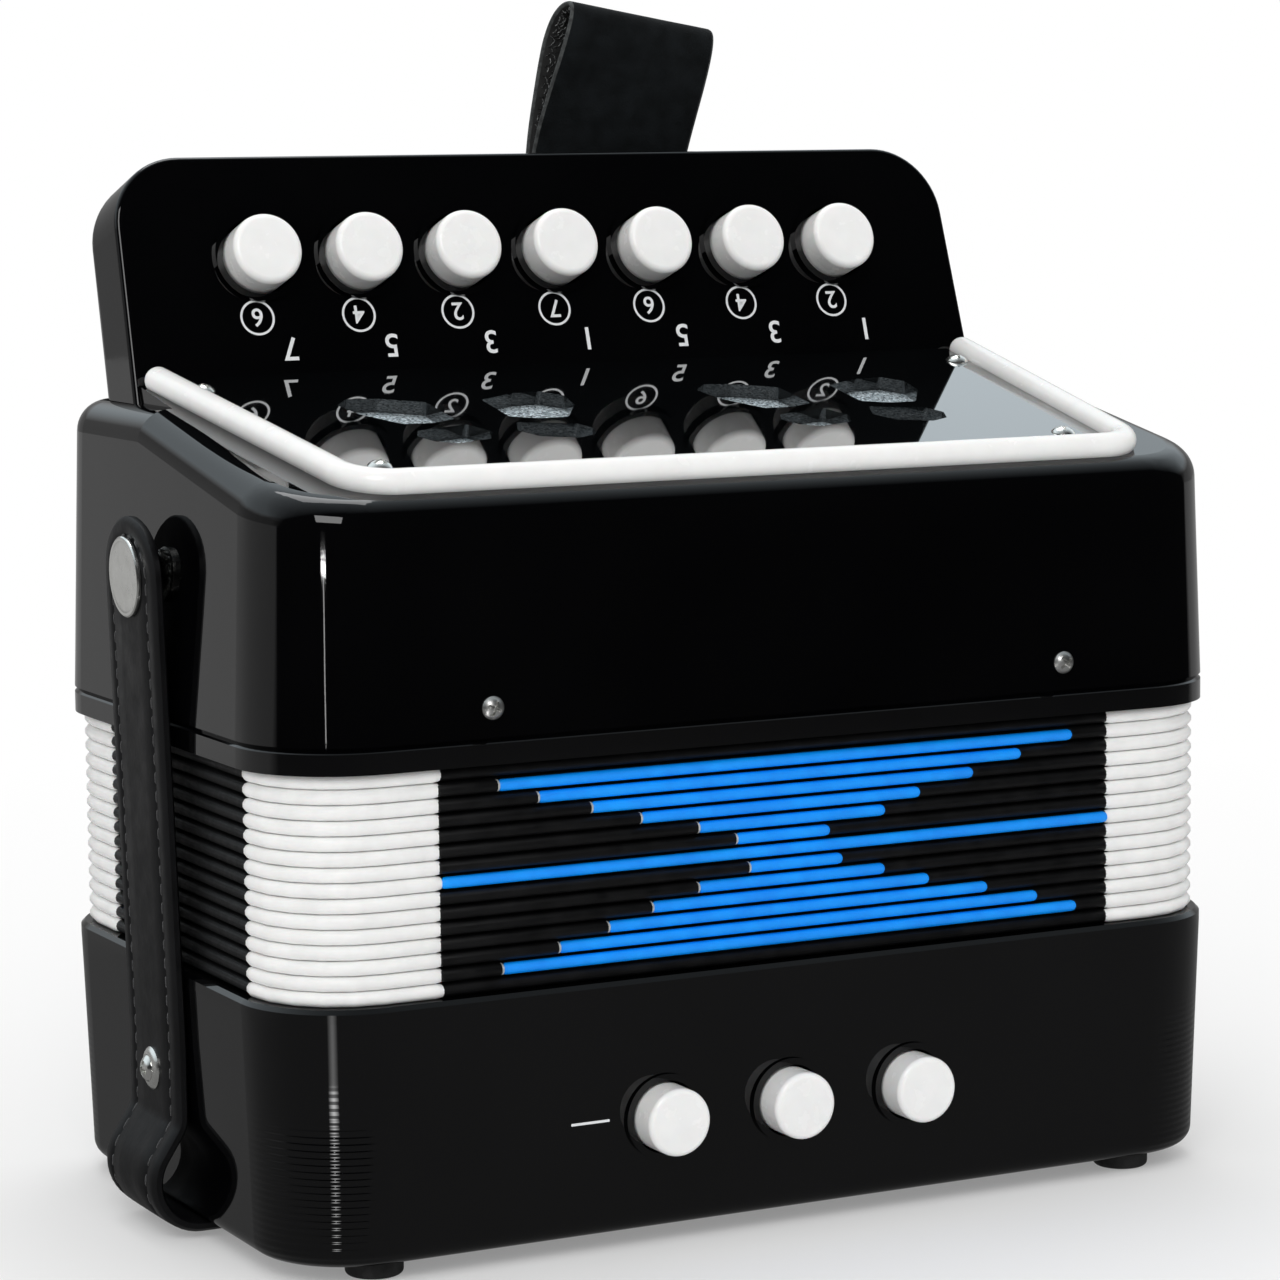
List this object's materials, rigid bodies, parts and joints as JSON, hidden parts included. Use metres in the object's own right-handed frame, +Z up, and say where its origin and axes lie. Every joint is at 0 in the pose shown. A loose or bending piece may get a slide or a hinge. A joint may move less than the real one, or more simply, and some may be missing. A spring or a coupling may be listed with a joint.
{
  "type": "button accordion",
  "caption": "Small button accordion that stands on its bass end: leaning keyboard box with push buttons, folding bellows, snap straps, hand strap and thumb strap.",
  "frame": {"origin": "on the table, under the middle of the casings, where the hand strap's underside and the feet lie in one plane", "axes": "+Z up from the bass end to the treble end, -Y towards the side with the bass buttons and the treble buttons, +X to the right as seen from that side"},
  "size_m": [0.198, 0.129, 0.2049],
  "materials": {
    "casing_black": "glossy black moulding",
    "plate": "mirror-polished black",
    "white_trim": "glossy white",
    "button": "glossy off-white",
    "lever": "plain moulded",
    "pad": "felt with a soft face",
    "board": "sanded plywood",
    "reeds": "milled",
    "steel": "drawn wire and spring strip",
    "plated": "polished plating",
    "feet": "soft matt rubber",
    "strap": "stitched imitation leather",
    "webbing": "napped woven strap",
    "cloth": "glittering woven cloth",
    "bellows": "folded card covered in black cloth",
    "bellows_tape": "white binding on the folds"
  },
  "bodies": {
    "bass_end": {"bass_casing": "casing_black", "bass_frame": "casing_black", "bass_soundboard": "board", "bass_reed_plates": "reeds", "bass_axle": "steel", "bass_springs": "steel", "rubber_feet": "feet", "hand_strap": "strap", "strap_screws": "plated", "strap_washers": "plated", "bellows_folds": "bellows", "bellows_corners": "bellows_tape"},
    "treble_end": {"treble_casing": "casing_black", "treble_frame": "casing_black", "treble_soundboard": "board", "treble_reed_plates": "reeds", "key_axle": "steel", "key_springs": "steel", "grille_plate": "plate", "grille_cloth": "cloth", "grille_trim": "white_trim", "grille_screws": "plated", "keyboard_front": "casing_black", "keyboard_back": "casing_black", "treble_screws": "plated", "snap_studs": "plated", "thumb_strap": "webbing", "thumb_strap_screw": "plated"},
    "left_strap": {"left_strap": "strap", "left_snap": "plated"},
    "right_strap": {"right_strap": "strap", "right_snap": "plated"},
    "air_button": {"air_button": "button"},
    "bass_button_1": {"bass_button_1": "button"},
    "bass_button_2": {"bass_button_2": "button"},
    "air_lever": {"air_lever": "lever"},
    "bass_lever_1": {"bass_lever_1": "lever"},
    "bass_lever_2": {"bass_lever_2": "lever"},
    "key_1": {"treble_button_1": "button", "key_lever_1": "lever", "key_pad_1": "pad"},
    "key_2": {"treble_button_2": "button", "key_lever_2": "lever", "key_pad_2": "pad"},
    "key_3": {"treble_button_3": "button", "key_lever_3": "lever", "key_pad_3": "pad"},
    "key_4": {"treble_button_4": "button", "key_lever_4": "lever", "key_pad_4": "pad"},
    "key_5": {"treble_button_5": "button", "key_lever_5": "lever", "key_pad_5": "pad"},
    "key_6": {"treble_button_6": "button", "key_lever_6": "lever", "key_pad_6": "pad"},
    "key_7": {"treble_button_7": "button", "key_lever_7": "lever", "key_pad_7": "pad"}
  },
  "joints": [
    {"name": "bellows_opening", "type": "slide", "parent": "bass_end", "child": "treble_end", "axis": [0, 0, 1], "range_m": [0, 0.06], "deforming": ["bellows_folds", "bellows_corners"]},
    {"name": "left_strap_swing", "type": "hinge", "parent": "bass_end", "child": "left_strap", "pos_m": [-0.0909, 0, 0.0325], "axis": [0, 1, 0], "range_deg": [-60, 0]},
    {"name": "right_strap_swing", "type": "hinge", "parent": "bass_end", "child": "right_strap", "pos_m": [0.0909, 0, 0.0325], "axis": [0, 1, 0], "range_deg": [0, 60]},
    {"name": "key_1_press", "type": "hinge", "parent": "treble_end", "child": "key_1", "pos_m": [-0.0573, 0.01981, 0.09886], "axis": [1, 0, 0], "range_deg": [-2.8, 0], "stiffness_Nm_per_rad": 0.3, "springref_deg": 5.73},
    {"name": "key_2_press", "type": "hinge", "parent": "treble_end", "child": "key_2", "pos_m": [-0.0382, 0.01981, 0.09886], "axis": [1, 0, 0], "range_deg": [-2.8, 0], "stiffness_Nm_per_rad": 0.3, "springref_deg": 5.73},
    {"name": "key_3_press", "type": "hinge", "parent": "treble_end", "child": "key_3", "pos_m": [-0.0191, 0.01981, 0.09886], "axis": [1, 0, 0], "range_deg": [-2.8, 0], "stiffness_Nm_per_rad": 0.3, "springref_deg": 5.73},
    {"name": "key_4_press", "type": "hinge", "parent": "treble_end", "child": "key_4", "pos_m": [0, 0.01981, 0.09886], "axis": [1, 0, 0], "range_deg": [-2.8, 0], "stiffness_Nm_per_rad": 0.3, "springref_deg": 5.73},
    {"name": "key_5_press", "type": "hinge", "parent": "treble_end", "child": "key_5", "pos_m": [0.0191, 0.01981, 0.09886], "axis": [1, 0, 0], "range_deg": [-2.8, 0], "stiffness_Nm_per_rad": 0.3, "springref_deg": 5.73},
    {"name": "key_6_press", "type": "hinge", "parent": "treble_end", "child": "key_6", "pos_m": [0.0382, 0.01981, 0.09886], "axis": [1, 0, 0], "range_deg": [-2.8, 0], "stiffness_Nm_per_rad": 0.3, "springref_deg": 5.73},
    {"name": "key_7_press", "type": "hinge", "parent": "treble_end", "child": "key_7", "pos_m": [0.0573, 0.01981, 0.09886], "axis": [1, 0, 0], "range_deg": [-2.8, 0], "stiffness_Nm_per_rad": 0.3, "springref_deg": 5.73},
    {"name": "air_button_press", "type": "slide", "parent": "bass_end", "child": "air_button", "axis": [0, 1, 0], "range_m": [0, 0.0025], "stiffness_N_per_m": 200, "springref_m": -0.003},
    {"name": "air_lever_turn", "type": "hinge", "parent": "bass_end", "child": "air_lever", "pos_m": [-0.0233, -0.004, 0.0326], "axis": [1, 0, 0], "range_deg": [0, 13.3]},
    {"name": "bass_button_1_press", "type": "slide", "parent": "bass_end", "child": "bass_button_1", "axis": [0, 1, 0], "range_m": [0, 0.0025], "stiffness_N_per_m": 200, "springref_m": -0.003},
    {"name": "bass_lever_1_turn", "type": "hinge", "parent": "bass_end", "child": "bass_lever_1", "pos_m": [0, -0.004, 0.0326], "axis": [1, 0, 0], "range_deg": [0, 13.3]},
    {"name": "bass_button_2_press", "type": "slide", "parent": "bass_end", "child": "bass_button_2", "axis": [0, 1, 0], "range_m": [0, 0.0025], "stiffness_N_per_m": 200, "springref_m": -0.003},
    {"name": "bass_lever_2_turn", "type": "hinge", "parent": "bass_end", "child": "bass_lever_2", "pos_m": [0.0233, -0.004, 0.0326], "axis": [1, 0, 0], "range_deg": [0, 13.3]}
  ],
  "couplings": [
    {"joint": "left_strap_swing", "follows": "bellows_opening", "rad_per_m": -17.45},
    {"joint": "right_strap_swing", "follows": "bellows_opening", "rad_per_m": 17.45},
    {"joint": "air_lever_turn", "follows": "air_button_press", "rad_per_m": 91.743},
    {"joint": "bass_lever_1_turn", "follows": "bass_button_1_press", "rad_per_m": 91.743},
    {"joint": "bass_lever_2_turn", "follows": "bass_button_2_press", "rad_per_m": 91.743}
  ]
}
